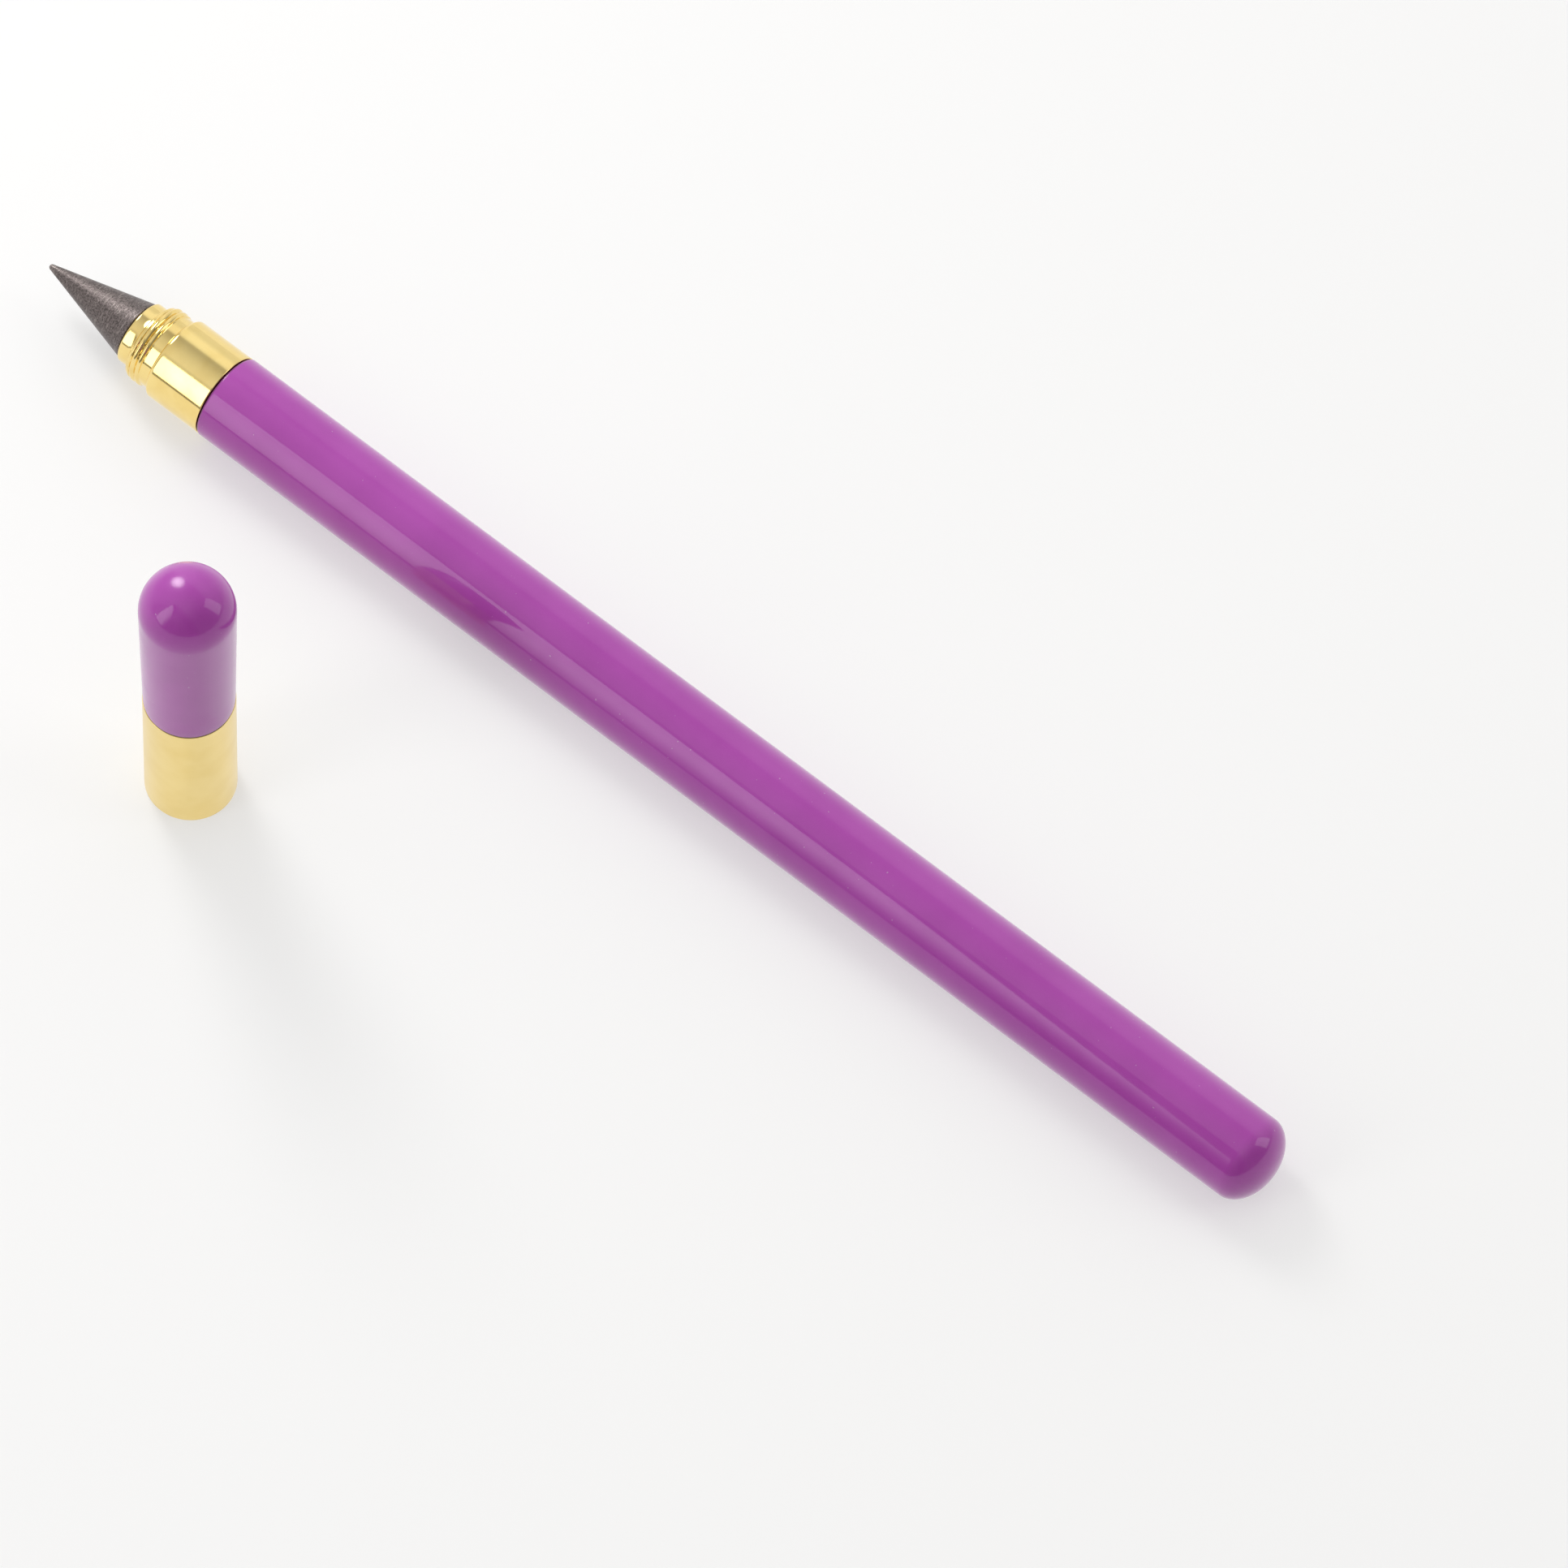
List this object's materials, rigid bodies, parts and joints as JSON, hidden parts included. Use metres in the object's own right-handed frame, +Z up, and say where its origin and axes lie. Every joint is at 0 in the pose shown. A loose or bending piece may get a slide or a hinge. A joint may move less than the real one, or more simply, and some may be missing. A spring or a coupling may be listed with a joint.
{
  "type": "inkless pencil",
  "caption": "Slim round inkless metal pencil with a cone nib and a threaded gold-plated ferrule, lying beside its domed screw cap, which stands on its open rim.",
  "frame": {"origin": "middle of the bounding box, on the surface that the pencil lies on and the cap stands on", "axes": "+X along the pencil from the nib to the closed rear end, +Z up, the cap stands on the -Y side beside the nib"},
  "size_m": [0.1442, 0.039, 0.0378],
  "materials": {
    "graphite_alloy": "brushed dark grey",
    "plain_brass": "machined",
    "polished_gold": "polished plate",
    "satin_gold": "satin plate",
    "purple_lacquer": "gloss metallic lacquer"
  },
  "bodies": {
    "pencil": {"barrel": "purple_lacquer", "ferrule": "polished_gold"},
    "nib_carrier": {"nib_holder": "plain_brass"},
    "nib": {"nib_tip": "graphite_alloy"},
    "cap": {"cap_band": "satin_gold", "cap_shell": "purple_lacquer"}
  },
  "joints": [
    {"name": "nib_out", "type": "slide", "parent": "pencil", "child": "nib_carrier", "axis": [-1, 0, 0], "range_m": [0, 0.006]},
    {"name": "nib_turn", "type": "hinge", "parent": "nib_carrier", "child": "nib", "pos_m": [0, 0.01529, 0.00425], "axis": [-1, 0, 0], "range_deg": [0, 3086]},
    {"name": "cap_lift", "type": "slide", "parent": "pencil", "child": "cap", "axis": [0, 0, 1], "range_m": [0, 0.06]}
  ],
  "couplings": [
    {"joint": "nib_turn", "follows": "nib_out", "rad_per_m": 8976}
  ]
}
